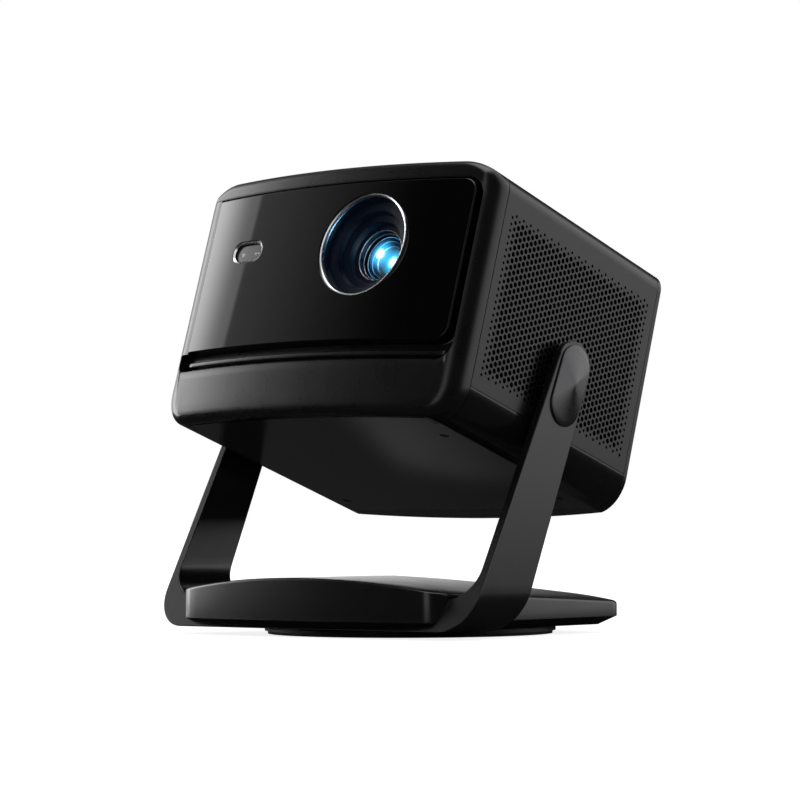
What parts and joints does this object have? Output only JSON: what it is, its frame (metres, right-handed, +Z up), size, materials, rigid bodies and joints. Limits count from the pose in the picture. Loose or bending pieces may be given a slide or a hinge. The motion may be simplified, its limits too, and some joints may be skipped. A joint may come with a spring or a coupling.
{
  "type": "home projector",
  "caption": "Box-shaped home projector: head with glossy bulging front, recessed lens and drilled side walls, tilting in a yoke on a swivelling base with a round foot.",
  "frame": {"origin": "middle of the round foot's underside, on the swivel axis, directly under the tilt axis", "axes": "+Z up; the lens looks towards -Y and, as stored, 18 degrees up; +X is to the right for a viewer facing the lens; the tilt axis lies along X"},
  "size_m": [0.2644, 0.2447, 0.2906],
  "materials": {
    "casing_black": "fine satin black, moulded",
    "stand_black": "satin black coated",
    "stand_metal": "black coated",
    "cap_black": "black, radially brushed",
    "panel_gloss": "glossy black",
    "window_gloss": "dark infrared window",
    "trim_bright": "bright diamond-cut edge",
    "baffle_black": "dark stepped baffle",
    "lens_glass": "blue anti-reflection coating",
    "cloth_black": "black acoustic cloth",
    "rubber_black": "matt",
    "low_friction": "natural acetal",
    "bush_plastic": "black acetal",
    "steel_plain": "zinc plated",
    "brass_plain": "turned",
    "sheet_aluminium": "plain",
    "copper_pipe": "copper heat pipe",
    "engine_dark": "dark moulding, filled",
    "board_green": "green circuit board",
    "inner_black": "black",
    "button_grey": "dark grey"
  },
  "bodies": {
    "foot": {"foot_disc": "stand_metal", "foot_rubber_ring": "rubber_black", "slip_ring": "low_friction", "swivel_spindle": "steel_plain", "spindle_nut": "steel_plain"},
    "base": {"base_plate": "stand_metal", "base_cover": "stand_black", "swivel_bush": "brass_plain", "yoke": "stand_black", "yoke_screws": "steel_plain", "tilt_bush_right": "bush_plastic", "tilt_bush_left": "bush_plastic", "pivot_cap_right": "cap_black", "pivot_cap_left": "cap_black"},
    "head": {"head_shell": "casing_black", "bottom_cover": "casing_black", "rear_cover": "casing_black", "front_bezel": "casing_black", "front_panel": "panel_gloss", "grille_cloth_right": "cloth_black", "grille_cloth_left": "cloth_black", "sensor_window": "window_gloss", "sensor_lenses": "window_gloss", "lens_trim_ring": "trim_bright", "lens_baffle": "baffle_black", "lens_barrel": "baffle_black", "front_glass": "lens_glass", "rear_glass": "lens_glass", "focus_motor": "steel_plain", "chassis": "sheet_aluminium", "tilt_shaft_right": "steel_plain", "tilt_shaft_left": "steel_plain", "optical_engine": "engine_dark", "light_source": "sheet_aluminium", "heat_sink": "sheet_aluminium", "heat_pipes": "copper_pipe", "main_board": "board_green", "board_standoffs": "brass_plain", "power_board": "board_green", "speaker_right": "inner_black", "speaker_left": "inner_black", "fan_frame_right": "inner_black", "fan_frame_left": "inner_black", "port_board": "board_green", "hdmi_sockets": "steel_plain", "usb_sockets": "steel_plain", "audio_socket": "inner_black", "power_inlet": "inner_black", "power_switch": "inner_black", "bottom_screws": "steel_plain", "rear_screws": "steel_plain"},
    "focus_ring": {"focus_ring": "bush_plastic"},
    "focus_pinion": {"focus_pinion": "low_friction"},
    "fan_right": {"fan_rotor_right": "inner_black"},
    "fan_left": {"fan_rotor_left": "inner_black"},
    "power_button": {"power_button": "button_grey"}
  },
  "joints": [
    {"name": "swivel", "type": "hinge", "parent": "foot", "child": "base", "pos_m": [0, 0, 0.005], "axis": [0, 0, 1], "continuous": true},
    {"name": "tilt", "type": "hinge", "parent": "base", "child": "head", "pos_m": [0, 0, 0.1545], "axis": [-1, 0, 0], "range_deg": [-38, 77]},
    {"name": "focus_turn", "type": "hinge", "parent": "head", "child": "focus_ring", "pos_m": [0.0323, -0.0383, 0.2253], "axis": [0, 0.9511, -0.309], "range_deg": [-30, 30]},
    {"name": "pinion_spin", "type": "hinge", "parent": "head", "child": "focus_pinion", "pos_m": [0.05311, -0.03115, 0.24728], "axis": [0, 0.9511, -0.309], "range_deg": [-126, 126]},
    {"name": "fan_spin_right", "type": "hinge", "parent": "head", "child": "fan_right", "pos_m": [0.04, 0.08184, 0.16366], "axis": [0, 0.9511, -0.309], "continuous": true},
    {"name": "fan_spin_left", "type": "hinge", "parent": "head", "child": "fan_left", "pos_m": [-0.04, 0.08184, 0.16366], "axis": [0, 0.9511, -0.309], "continuous": true},
    {"name": "power_press", "type": "slide", "parent": "head", "child": "power_button", "axis": [0, -0.9511, 0.309], "range_m": [0, 0.001], "stiffness_N_per_m": 1000, "springref_m": -0.0005}
  ],
  "couplings": [
    {"joint": "pinion_spin", "follows": "focus_turn", "ratio": -4.1667}
  ]
}
